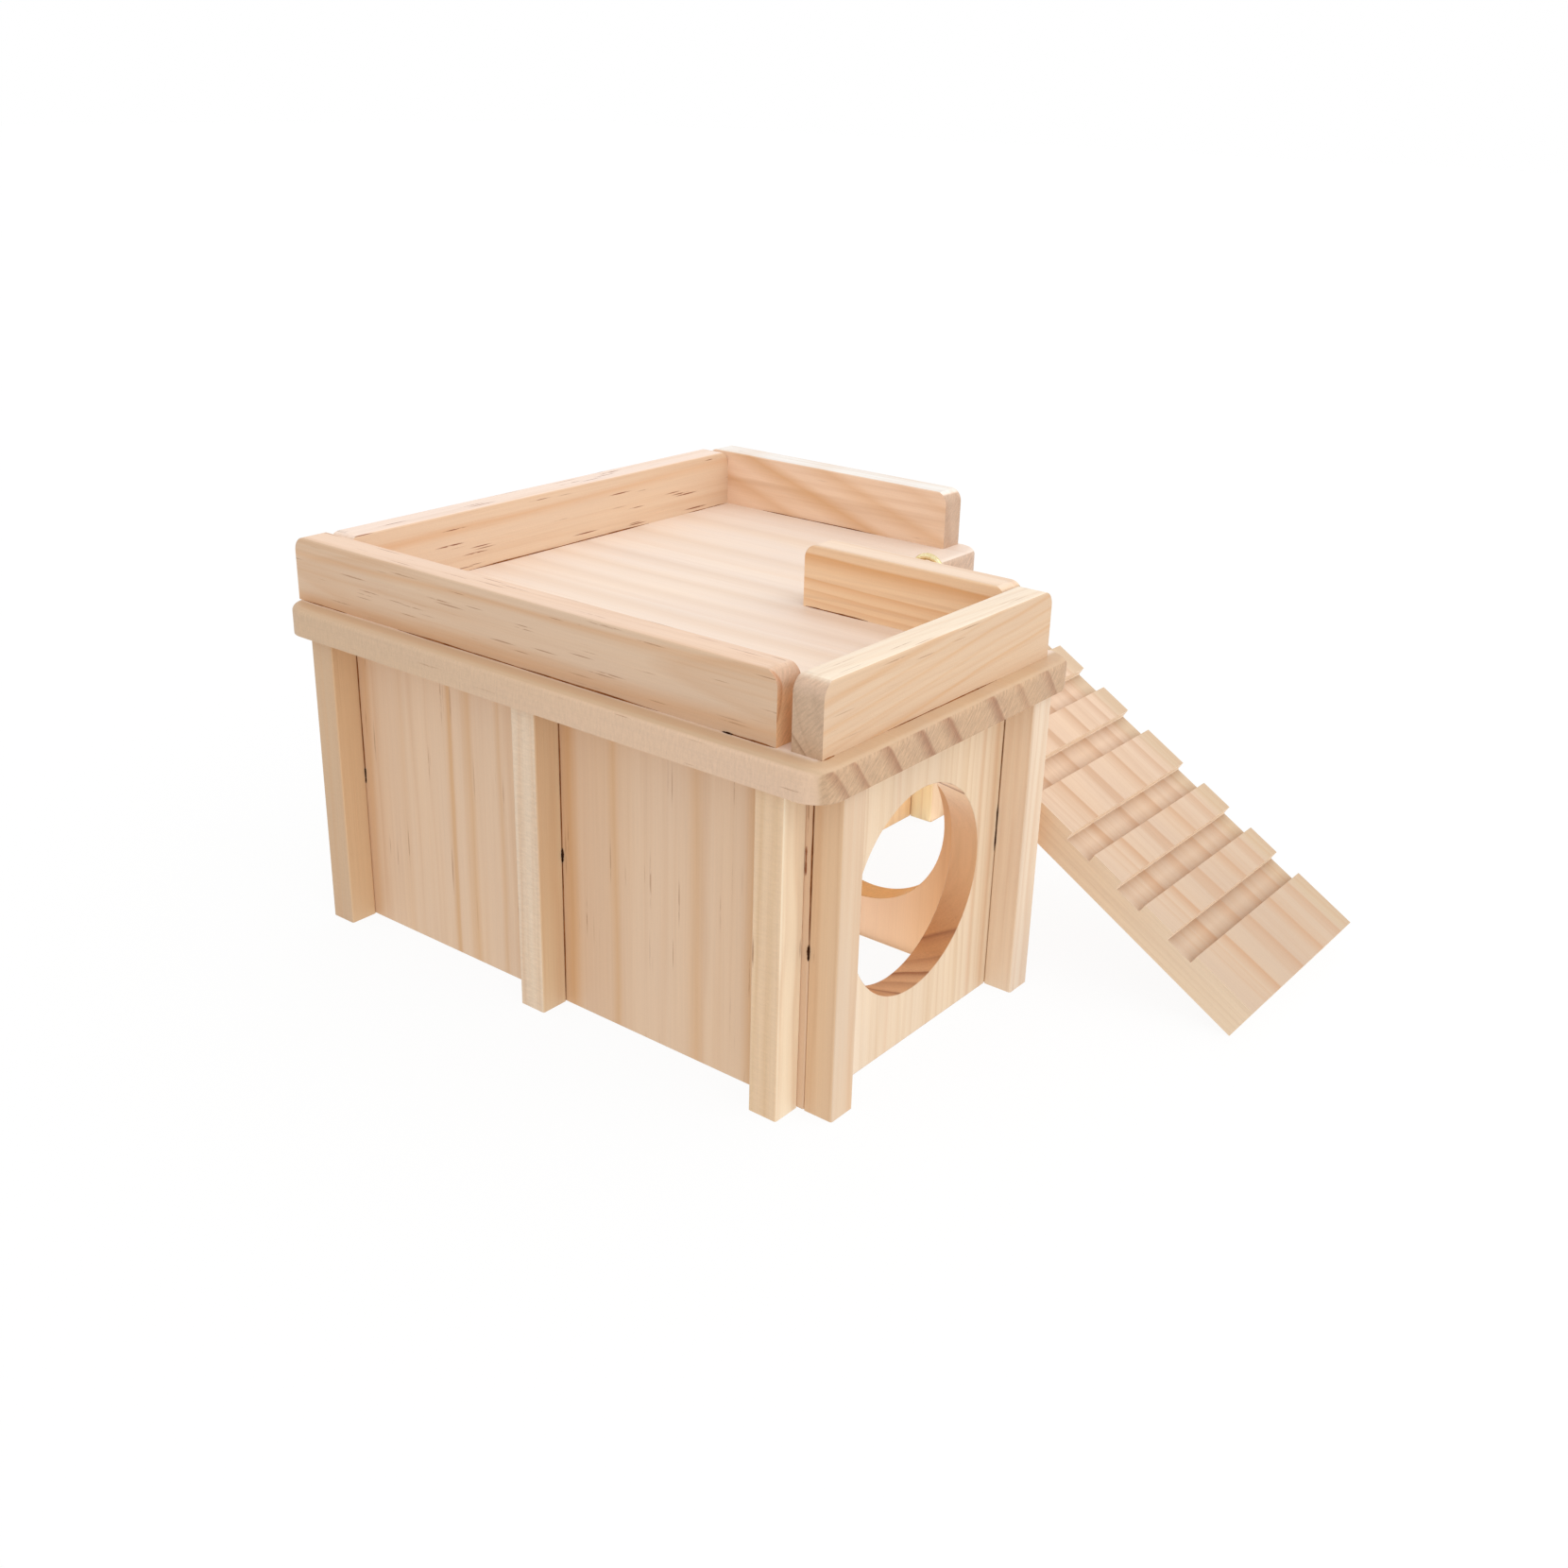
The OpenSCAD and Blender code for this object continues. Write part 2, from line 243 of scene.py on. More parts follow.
# Saw scratches on end grain, length and width in millimetres, and how far bands wander
SCRATCH_LENGTH = 5.0
SCRATCH_WIDTH = 0.8
BAND_WANDER = 2.5

# Painted shade of an inner corner: its reach in millimetres, how strongly it comes in, and its tone
CORNER_REACH = 4.5
CORNER_SAMPLES = 8
CORNER_GAIN = 2.0
PAINTED_CORNER_SHADE_TONE = (146, 108, 78)

# Noise levels between which streaks come in, and what fibre and mottle do to the wood's light and tint
STREAK_RANGE = (0.45, 0.75)
FIBRE_LIGHT = (0.94, 1.06)
MOTTLE_LIGHT = (-0.05, 0.05)
MOTTLE_GREEN = (1.015, 0.985)
MOTTLE_BLUE = (1.06, 0.94)

# Grit of any face, what end grain and rough faces add to it, and depth of the tears on rough faces
PLAIN_GRIT = 0.05
END_GRIT = 0.2
ROUGH_GRIT = 0.12
TEAR_DEPTH = 0.3

# Wood's relief beside that of its fibre, the bump's strength and depth, and the wood's polish and sheen
PORE_HEIGHT = 6.0
TEAR_HEIGHT = 2.0
RING_HEIGHT = 0.5
WOOD_BUMP = 0.25
WOOD_BUMP_DEPTH = 0.25 * MM
WOOD_ROUGHNESS = (0.46, 0.64)
WOOD_SHEEN = 0.4

# Brass: noise cells to the metre of its smears and scratches, the levels between which a smear comes in, duller
# and brighter tone, roughness, and the scratches' bump and depth
SMEAR_RATE = 900.0
POLISH_RATE = 4000.0
SMEAR_RANGE = (0.3, 0.7)
BRASS_TONES = ((232, 212, 158), (246, 232, 190))
BRASS_ROUGHNESS = (0.14, 0.28)
BRASS_BUMP = 0.08
BRASS_BUMP_DEPTH = 0.1 * MM

# Lighter patches in the threads: noise cells to the metre, the levels between which they come in, and their
# roughness
PATCH_RATE = 260.0
PATCH_RANGE = (0.35, 0.75)
PATCH_ROUGHNESS = (0.75, 0.95)

# Tones of the threads: the material's name, its dark tone and its lighter tone
# The shaded and black threads are painted shade in open joints; the resin thread is a real resin streak
JOINT_SHADES = {
    "shaded": ("joint_shaded", (124, 72, 38), (164, 110, 68)),
    "black": ("joint_black", (46, 24, 14), (76, 44, 28)),
    "resin": ("resin_streak", (150, 92, 60), (182, 124, 90)),
}

# Edges: vertices welded within this distance, and the width, steps and least angle of the easing
WELD_WITHIN = 0.005 * MM
EDGE_EASE = 0.35 * MM
EDGE_STEPS = 2
EDGE_ANGLE = 50.0
FLAT_WEIGHT = 100

# Thread of an open joint: sides, fewest rings and their spacing in millimetres, how soon it reaches its
# width, its thinnest share, and its steady width with a slow and a fast wave, each by depth, rate and shift
THREAD_SIDES = 6
THREAD_RINGS = 12
THREAD_STEP = 1.5
THREAD_TAPER = 8.0
THREAD_THINNEST = 0.15
THREAD_STEADY = 0.75
SLOW_DEPTH, SLOW_RATE, SLOW_SHIFT_PER_METRE = 0.18, 9.0, 900.0
FAST_DEPTH, FAST_RATE, FAST_SHIFT = 0.10, 31.0, 2.0


def look(**changes):
    """Pine with some of its values changed."""
    return {**PINE, **changes}


def face(side, near, far=None, share=0.9, grit=0.0, figure=0.5):
    """A face by its sign and axis: tone at both ends of the grain, roughness, and how much figure is left."""
    return dict(side=side, near=near, far=far or near, share=share, grit=grit, figure=figure)


class Board:
    """A board's axes in its material: millimetres from its middle, and which way each face looks."""

    def __init__(self, g, node, way):
        low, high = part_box(node)
        order = ["xyz".index(letter) for letter in way["axes"]]
        self.half = [0.5 / MM * (high - low)[i] for i in order]
        source = g.add("ShaderNodeTexCoord", {})
        place = g.vector_math("SUBTRACT", source.outputs["Object"], tuple((low + high) / 2))
        facing = source.outputs["Normal"]
        if way["tilt"]:
            angle = math.radians(-way["tilt"])
            place = self.turned(g, place, angle)
            facing = self.turned(g, facing, angle)
        place = g.parts(g.scaled(place, 1.0 / MM))
        facing = g.parts(facing)
        self.axes = [place[i] for i in order]
        self.facing = facing
        self.end_on = g.ease(g.math("ABSOLUTE", facing[order[0]]), way["end_from"], END_FULL)

    @staticmethod
    def turned(g, vector, angle):
        inputs = {"Vector": vector, "Angle": angle}
        return g.add("ShaderNodeVectorRotate", inputs, rotation_type="Y_AXIS").outputs[0]

    def towards(self, g, side):
        """How far a face looks to a side, given as a sign and an axis."""
        sign = -1.0 if side[0] == "-" else 1.0
        return g.ease(g.product(self.facing["xyz".index(side[1])], sign), SIDE_FROM, SIDE_FULL)

    def ramp(self, g, axis, begins, full):
        """0 where a drift begins and 1 where it is full, along one of the board's axes."""
        if begins < full:
            return g.ease(self.axes[axis], begins, full)
        return g.ease(g.product(self.axes[axis], -1.0), -begins, -full)

    def cells(self, g, sizes, seed):
        """The axes in units of the given sizes, moved by a seed."""
        along, across, through = (g.product(axis, 1.0 / size) for axis, size in zip(self.axes, sizes))
        along = g.total(along, seed)
        across = g.total(across, SEED_ACROSS * seed)
        through = g.total(through, SEED_THROUGH * seed)
        return g.vector(along, across, through)


def growth_rings(g, board, way, spacing, seed):
    """Darkness of the late wood: rings round a pith that lies beside the board and leans a little."""
    along, across, through = board.axes
    (pith_across, pith_through), (lean_across, lean_through) = way["pith"], way["lean"]
    sway = g.about_zero(g.noise(board.cells(g, CELLS["sway"], seed)))
    across = g.total(across, g.product(sway, 2.0 * way["sway"]))
    across = g.math("SUBTRACT", across, g.total(g.product(along, lean_across), pith_across))
    through = g.math("SUBTRACT", through, g.total(g.product(along, lean_through), pith_through))
    radius = g.math("SQRT", g.total(g.product(across, across), g.product(through, through)))
    count = g.product(radius, 1.0 / spacing)
    uneven = g.noise(g.vector(g.product(count, UNEVEN_RATE), seed, 0.0))
    count = g.total(count, g.product(uneven, UNEVEN_REACH))
    inside = g.curve(g.math("FRACT", count), RING_DARKNESS)
    strength = g.ease(g.chance(g.total(g.math("FLOOR", count), seed)), FAINTEST_RING, 1.0)
    return g.product(inside, strength)


def resin_dashes(g, board, way):
    """Short dark resin canals, drawn out thin along the grain, in loose drifts."""
    seed = way["seed"] + SEED_STEPS["dash"]
    long, wide = way["dash_size"]
    cells = board.cells(g, (long, wide, wide), seed)
    spots = g.add("ShaderNodeTexVoronoi", {"Vector": cells, "Scale": 1.0})
    pick, length, _ = g.parts(spots.outputs["Color"])
    distance = g.math("DIVIDE", spots.outputs["Distance"], g.spread(length, *DASH_REACH))
    near = g.math("SUBTRACT", 1.0, g.ease(distance, DASH_CORE, 1.0))
    picked = g.math("LESS_THAN", pick, way["dashes"])
    drift = g.noise(board.cells(g, CELLS["dash_drift"], seed))
    drift = g.ease(drift, way["dash_drift"], way["dash_drift"] + DASH_DRIFT_RISE)
    whole = g.ease(g.noise(board.cells(g, CELLS["dash_break"], seed)), *DASH_BREAK)
    if way["dash_side"]:
        drift = g.product(drift, board.towards(g, way["dash_side"]))
    return g.product(near, picked, drift, whole, way["dash_depth"])


def saw_marks(g, board, seed):
    """Fine slanting scratches the saw leaves across end grain."""
    _, across, through = board.axes
    slope = g.product(g.total(across, through), 1.0 / SCRATCH_LENGTH)
    step = g.product(g.math("SUBTRACT", across, through), 1.0 / SCRATCH_WIDTH)
    return g.noise(g.vector(slope, step, seed), detail=3.0, roughness=0.65)


def painted_shade_in_corners(g):
    """Nearness to an inner corner of the same board, where the wood gets painted shade."""
    inputs = {"Distance": CORNER_REACH * MM}
    shelter = g.add("ShaderNodeAmbientOcclusion", inputs, samples=CORNER_SAMPLES, only_local=True)
    closed = g.math("SUBTRACT", 1.0, shelter.outputs["AO"])
    return g.math("MULTIPLY", closed, CORNER_GAIN, clamp=True)


def soft_bands(g, board, way, bands, fall):
    """Darker bands at named places, soft on one side and sharper on the other, as late wood is."""
    along, across, through = board.axes
    slant, lean = way["band_slant"], way["band_lean"]
    reach = board.half[1] + abs(lean) * board.half[0] + abs(slant) * board.half[2]
    wander = g.noise(board.cells(g, CELLS["wander"], way["seed"] + SEED_STEPS["wander"]))
    wander = g.product(g.about_zero(wander), BAND_WANDER)
    place = g.total(across, g.product(along, -lean), g.product(through, slant), wander)
    stops = [(-reach, 0.0)]
    for middle, half, depth in bands:
        stops += [(middle - half, 0.0), (middle, depth), (middle + fall * half, 0.0)]
    stops.append((reach, 0.0))
    # The curve is read from 0 to 1, which stands for the places from -reach to reach
    shares = [(min(max(0.5 + 0.5 * at / reach, 0.0), 1.0), level) for at, level in stops]
    return g.curve(g.total(g.product(place, 0.5 / reach), 0.5), shares)


def drifted(g, board, wood, drifts):
    """Wood with other tones that come in along an axis."""
    for axis, begins, full, drift_tone, share in drifts:
        wood = g.mix(g.product(board.ramp(g, axis, begins, full), share), wood, tone(*drift_tone))
    return wood


def pine(node, way):
    """Solid pine for one board, so that faces, edges and cuts all show the same grain."""
    g = Graph("pine_" + node)
    board = Board(g, node, way)
    seed = way["seed"]
    late, end_late = tone(*way["late"]), tone(*way["end_late"])
    rings = growth_rings(g, board, way, way["ring"], seed)
    lines = growth_rings(g, board, way, way["line"], seed + SEED_STEPS["line"])
    fibre = g.noise(board.cells(g, CELLS["fibre"], seed), detail=3.0, roughness=0.6)
    streak = g.noise(board.cells(g, CELLS["streak"], seed + SEED_STEPS["streak"]), detail=3.0, roughness=0.6)
    mottle = g.noise(board.cells(g, CELLS["mottle"], seed + SEED_STEPS["mottle"]))
    pores = g.noise(board.cells(g, CELLS["pore"], seed), detail=2.0, roughness=0.7)
    tears = g.noise(board.cells(g, CELLS["tear"], seed + SEED_STEPS["tear"]), detail=3.0, roughness=0.65)
    marks = saw_marks(g, board, seed)

    # Faces: their tones, some painted light, then rings, lines, streaks, bands, dashes and painted shade over
    # them
    wood, rough, figure = drifted(g, board, tone(*way["early"]), way["drifts"]), 0.0, 1.0
    # Tones of single faces: some are sawn faces, others painted light, lighter or darker for how the light
    # falls
    for sawn_and_painted_light_face in way["faces"]:
        turned = board.towards(g, sawn_and_painted_light_face["side"])
        place = board.ramp(g, 0, -board.half[0], board.half[0])
        face_tone = g.mix(place, tone(*sawn_and_painted_light_face["near"]), tone(*sawn_and_painted_light_face["far"]))
        wood = g.mix(g.product(turned, sawn_and_painted_light_face["share"]), wood, face_tone)
        rough = g.total(rough, g.product(turned, sawn_and_painted_light_face["grit"]))
        figure = g.product(g.spread(turned, 1.0, sawn_and_painted_light_face["figure"]), figure)
    wood = g.mix(g.product(rings, figure, way["ring_depth"]), wood, late)
    wood = g.mix(g.product(lines, figure, way["line_depth"]), wood, late)
    wood = g.mix(g.product(g.ease(streak, *STREAK_RANGE), way["streaks"]), wood, late)
    if way["bands"]:
        bands = soft_bands(g, board, way, way["bands"], way["band_fall"])
        wood = g.mix(g.product(bands, figure), wood, tone(*way["band_tone"]))
    wood = g.mix(resin_dashes(g, board, way), wood, tone(*way["dash"]))
    # Painted shade: the wood is darkened close to the board's inner corners, where shade falls
    if way["corner_shade"]:
        wood = g.mix(g.product(painted_shade_in_corners(g), way["corner_shade"]), wood, tone(*PAINTED_CORNER_SHADE_TONE))

    # Cut ends
    cut = drifted(g, board, tone(*way["end"]), way["cut_drifts"])
    cut = g.mix(g.product(rings, way["cut_rings"]), cut, end_late)
    if way["cut_bands"]:
        cut = g.mix(soft_bands(g, board, way, way["cut_bands"], way["cut_fall"]), cut, end_late)
    wood = g.mix(board.end_on, wood, cut)

    # Fine light and dark over all of it
    grit = g.total(g.product(board.end_on, END_GRIT), g.product(rough, ROUGH_GRIT), PLAIN_GRIT)
    scratch = g.product(g.about_zero(marks), board.end_on, way["end_scratch"])
    torn = g.product(g.about_zero(tears), rough, TEAR_DEPTH)
    pitted = g.product(g.about_zero(pores), grit)
    light = g.total(g.spread(fibre, *FIBRE_LIGHT), g.spread(mottle, *MOTTLE_LIGHT), scratch, torn, pitted)
    green = g.product(light, g.spread(mottle, *MOTTLE_GREEN))
    blue = g.product(light, g.spread(mottle, *MOTTLE_BLUE))
    wood = g.mix(1.0, wood, g.vector(light, green, blue), blend="MULTIPLY")

    height = g.total(fibre, g.product(pores, grit, PORE_HEIGHT), g.product(tears, rough, TEAR_HEIGHT),
                     g.product(rings, RING_HEIGHT))
    bump = g.add("ShaderNodeBump", {"Strength": WOOD_BUMP, "Distance": WOOD_BUMP_DEPTH, "Height": height})
    shader = g.add("ShaderNodeBsdfPrincipled", {
        "Base Color": wood, "Roughness": g.spread(fibre, *WOOD_ROUGHNESS), "Specular IOR Level": WOOD_SHEEN,
        "Normal": bump.outputs[0],
    })
    return g.surface(shader.outputs[0])


def brass(name):
    """Bright plated wire, a little uneven in colour and polish."""
    g = Graph(name)
    place = g.add("ShaderNodeTexCoord", {}).outputs["Object"]
    smear = g.noise(g.scaled(place, SMEAR_RATE), detail=3.0)
    scratch = g.noise(g.scaled(place, POLISH_RATE), detail=2.0, roughness=0.7)
    dull, bright = BRASS_TONES
    colour = g.mix(g.ease(smear, *SMEAR_RANGE), tone(*dull), tone(*bright))
    bump = g.add("ShaderNodeBump", {"Strength": BRASS_BUMP, "Distance": BRASS_BUMP_DEPTH, "Height": scratch})
    shader = g.add("ShaderNodeBsdfPrincipled", {
        "Base Color": colour, "Metallic": 1.0, "Roughness": g.spread(smear, *BRASS_ROUGHNESS),
        "Normal": bump.outputs[0],
    })
    return g.surface(shader.outputs[0])


def gap_shade(name, dark, dusty):
    """Painted shade in a joint that stands a hair open, lighter in places; the resin streak is made the same
    way.
    """
    g = Graph(name)
    place = g.add("ShaderNodeTexCoord", {}).outputs["Object"]
    patches = g.noise(g.scaled(place, PATCH_RATE), detail=3.0, roughness=0.6)
    colour = g.mix(g.ease(patches, *PATCH_RANGE), tone(*dark), tone(*dusty))
    shader = g.add("ShaderNodeBsdfPrincipled", {
        "Base Color": colour, "Roughness": g.spread(patches, *PATCH_ROUGHNESS), "Specular IOR Level": 0.0,
    })
    return g.surface(shader.outputs[0])


LOOKS = {
    "front_wall": look(
        axes="zxy", early=(228, 196, 165), pith=(20.0, 140.0), ring=14.0, ring_depth=0.1, line=4.0,
        line_depth=0.28, band_tone=(212, 164, 114),
        seed=1.0, dashes=0.6, dash_size=(34.0, 1.3), dash_depth=0.5, streaks=0.2,
        bands=((-78.0, 5.0, 0.5), (-62.0, 4.0, 0.25), (-41.0, 2.0, 0.9), (-33.0, 4.0, 0.6),
               (-20.5, 2.0, 0.5), (7.0, 7.0, 0.8), (24.0, 3.0, 0.6), (53.0, 4.0, 0.5), (71.5, 3.5, 0.65)),
    ),
    "right_end_wall": look(
        axes="zyx", early=(233, 209, 180), late=(206, 166, 122), pith=(-60.0, 45.0), ring=6.0,
        ring_depth=0.2, line=2.6, line_depth=0.35, seed=2.0, dashes=0.03,
        end=(212, 165, 126), end_late=(156, 103, 72), end_from=0.1, cut_rings=1.0,
        bands=((-11.5, 2.0, 0.25), (30.0, 2.0, 0.4), (37.0, 3.0, 0.4)),
        drifts=((1, -18.0, -32.0, (243, 225, 202), 0.7),),
        cut_drifts=((0, 5.0, 24.0, (242, 212, 178), 1.0), (0, 0.0, -12.0, (200, 146, 100), 1.0),
                    (0, -26.0, -31.0, (218, 176, 138), 0.8)),
        faces=(face("-y", (230, 184, 138)),), end_scratch=0.2,
    ),
    # The inner walls are warmer and brighter than bare pine, partly painted light for the inside of the house
    "inner_back_wall": look(
        axes="zxy", pith=(10.0, -80.0), ring=9.0, seed=3.0,
        end=(245, 208, 154), end_late=(206, 156, 104), end_from=0.1,
        dashes=0.05, drifts=((1, 5.0, 35.0, (232, 188, 138), 0.8),),
    ),
    "inner_side_wall": look(
        axes="zyx", early=(250, 214, 166), pith=(-20.0, -70.0), ring=9.0, seed=4.0, dashes=0.05,
    ),
    "back_wall": look(
        axes="zxy", pith=(-25.0, -130.0), ring=12.0, ring_depth=0.2, seed=5.0, dashes=0.2,
        dash_size=(40.0, 1.6),
        bands=((-30.0, 4.0, 0.5), (-12.0, 2.5, 0.4), (17.0, 5.0, 0.5), (36.0, 3.0, 0.4)),
    ),
    "left_wall": look(
        axes="zyx", pith=(35.0, 150.0), ring=13.0, ring_depth=0.2, seed=6.0, dashes=0.2,
        dash_size=(40.0, 1.6),
        bands=((-60.0, 5.0, 0.5), (-38.0, 2.5, 0.5), (-9.0, 4.0, 0.4), (22.0, 6.0, 0.5), (49.0, 3.0, 0.5)),
    ),
    "front_batten_left": look(
        axes="zxy", early=(222, 187, 147), pith=(30.0, 6.0), ring=7.0, seed=7.0, dashes=0.06,
        faces=(face("-y", (207, 175, 142), grit=0.3),),
    ),
    "front_batten_middle": look(
        axes="zxy", early=(224, 195, 159), pith=(40.0, -6.0), ring=7.0, seed=8.0, dashes=0.06,
        faces=(face("-y", (230, 206, 180), grit=1.0),),
    ),
    "front_batten_right": look(
        axes="zxy", early=(248, 228, 198), pith=(-30.0, 16.0), ring=6.0, seed=9.0, dashes=0.10,
        bands=((-2.6, 1.4, 0.5), (1.6, 1.8, 0.45)), band_lean=0.02, band_tone=(204, 166, 116),
        faces=(face("-y", (233, 200, 163), grit=0.6),),
    ),
    "end_batten_near": look(
        axes="zyx", early=(221, 195, 167), pith=(-26.0, -26.0), ring=6.0, seed=10.0, dashes=0.05,
        faces=(face("-y", (227, 191, 153), figure=1.0),),
    ),
    "end_batten_far": look(
        axes="zyx", early=(234, 213, 189), pith=(30.0, 12.0), ring=7.0, seed=11.0, dashes=0.05,
        faces=(face("-y", (242, 218, 190), figure=0.8),),
    ),
    "inner_batten_near": look(axes="zyx", early=(240, 212, 178), pith=(24.0, -20.0), ring=7.0, seed=12.0),
    # Its '-y' face is painted light: its tone is raised as far as it goes, for light that falls short in the
    # notch
    "inner_batten_far": look(
        axes="zyx", early=(236, 206, 170), pith=(-24.0, 20.0), ring=7.0, seed=13.0,
        faces=(face("-y", (255, 244, 203), figure=0.8),),
    ),
    "deck_board": look(
        axes="xyz", early=(237, 218, 202), late=(222, 186, 154), end=(198, 164, 131), end_late=(158, 110, 80),
        pith=(500.0, 375.0), ring=12.5, ring_depth=0.2, line=4.0, line_depth=0.06, sway=1.5, streaks=0.1,
        dashes=0.7, dash_side="-y", dash_size=(26.0, 1.3), dash_drift=0.38,
        bands=((-75.5, 6.0, 0.2), (-58.5, 6.0, 0.22), (-46.5, 5.0, 0.25), (-26.0, 7.0, 0.25),
               (-12.0, 6.0, 0.22), (1.5, 6.0, 0.25), (15.0, 6.0, 0.25), (40.0, 8.0, 0.25),
               (66.0, 8.0, 0.25)),
        cut_bands=((-92.6, 3.0, 0.6), (-84.6, 3.5, 0.7), (-71.0, 5.0, 0.8), (-56.0, 5.0, 0.9),
                   (-44.0, 5.0, 0.9), (-23.6, 5.0, 0.9), (-10.0, 4.0, 0.5), (4.8, 5.0, 0.6),
                   (17.4, 4.0, 0.8)),
        band_tone=(206, 168, 130), band_slant=0.75, cut_rings=0.15, end_scratch=1.0,
        cut_drifts=((0, 60.0, 40.0, (209, 180, 157), 0.9),), seed=14.0,
        # Darker margins: at the front partly the wood's own band and partly painted shade of the front rail
        drifts=((1, -93.0, -95.5, (205, 174, 141), 1.0), (0, 92.5, 94.5, (205, 174, 141), 1.0)),
        faces=(face("-y", (210, 179, 147), far=(228, 195, 166), share=0.92, grit=0.9, figure=0.3),),
    ),
    # The rails' '+z' tones are painted light: their tops are made lighter and paler for the light that falls on
    # them
    "front_rail": look(
        axes="xzy", early=(223, 193, 164), pith=(2.0, -22.0), lean=(0.02, 0.05), ring=6.0,
        ring_depth=0.35, sway=2.0, streaks=0.42,
        bands=((-8.0, 7.0, 0.6), (6.5, 1.8, 0.5)), band_lean=0.02, band_tone=(216, 168, 124),
        dashes=0.9, dash_size=(24.0, 0.95), dash_drift=0.36, dash_depth=0.6,
        end=(233, 186, 141), end_late=(190, 129, 86),
        cut_drifts=((1, 2.0, 7.0, (204, 170, 144), 0.9),), end_from=0.12, seed=15.0,
        faces=(face("+z", (234, 204, 181), share=0.8),),
    ),
    "right_rail": look(
        axes="yzx", early=(220, 190, 159), pith=(18.0, 36.0), lean=(0.10, 0.0), ring=5.0,
        ring_depth=0.15, line=1.8, line_depth=0.3,
        bands=((-1.3, 1.0, 0.5), (3.7, 0.8, 0.3), (7.7, 1.2, 0.4), (11.2, 0.8, 0.3), (14.7, 1.6, 0.35)),
        band_lean=0.11, band_slant=1.03, band_tone=(212, 162, 112),
        dashes=0.6, dash_size=(24.0, 0.85), dash_depth=0.55,
        end=(204, 173, 144), end_late=(158, 120, 92), cut_bands=((-3.7, 1.5, 0.75),), cut_rings=0.5,
        cut_drifts=((1, 4.0, 8.0, (218, 186, 160), 0.8),), end_from=0.12, seed=16.0,
        faces=(face("+z", (242, 226, 205), figure=0.35),),
    ),
    "left_rail": look(
        axes="yzx", early=(226, 198, 170), pith=(18.0, -34.0), lean=(-0.02, 0.0), ring=8.0, ring_depth=0.2,
        bands=((5.0, 2.6, 0.4),), band_lean=0.015, band_tone=(218, 170, 126), dashes=0.75, dash_depth=1.0,
        dash_size=(25.0, 1.0), dash_drift=0.26, dash=(134, 72, 40), seed=17.0,
        faces=(face("+z", (241, 220, 206), share=0.85, figure=0.35),),
    ),
    "back_rail": look(
        axes="xzy", early=(250, 219, 192), pith=(-10.0, -40.0), ring=9.0, ring_depth=0.15,
        bands=((-13.5, 4.5, 0.45), (-1.6, 5.5, 0.7), (9.5, 5.0, 0.45), (21.0, 4.0, 0.25)), band_lean=-0.33,
        band_tone=(222, 172, 120), end=(200, 169, 144), dashes=0.06, seed=18.0,
        faces=(face("+z", (240, 237, 231), share=0.95, figure=0.35),),
    ),
    "inner_rail": look(
        axes="xzy", early=(253, 220, 182), pith=(24.0, 12.0), ring=8.0, ring_depth=0.15,
        bands=((-7.6, 1.6, 0.35), (-4.6, 1.6, 0.4), (-1.2, 2.2, 0.6), (6.2, 4.6, 0.85)),
        band_lean=-0.012, band_fall=0.15, band_tone=(230, 174, 116), dashes=0.05, seed=19.0,
        faces=(face("+z", (236, 212, 190), share=0.85, figure=0.35),),
    ),
    # Groove walls' end grain painted lighter for the light on them; painted shade in the groove corners
    "ladder_board": look(
        axes="xyz", tilt=LADDER_SLOPE, early=(230, 200, 173), late=(194, 154, 120), pith=(4.0, -90.0),
        ring=4.0, ring_depth=0.15, line=2.0, line_depth=0.25, sway=1.0,
        bands=((-31.0, 1.6, 0.25), (-27.0, 1.6, 0.25), (-21.0, 5.0, 0.75), (-4.2, 6.5, 0.6),
               (11.0, 5.5, 0.6), (24.5, 5.0, 0.5), (30.0, 2.0, 0.3)),
        band_lean=0.05, band_fall=0.12, band_tone=(194, 148, 110),
        end=(246, 224, 198), end_late=(230, 200, 168),
        cut_rings=0.4, dashes=0.0, corner_shade=0.45, seed=20.0,
        drifts=((0, -60.0, 75.0, (202, 176, 151), 1.0), (1, 26.0, 32.0, (202, 178, 146), 0.7)),
        faces=(face("-y", (240, 213, 181), far=(243, 219, 189), grit=0.1),),
    ),
}

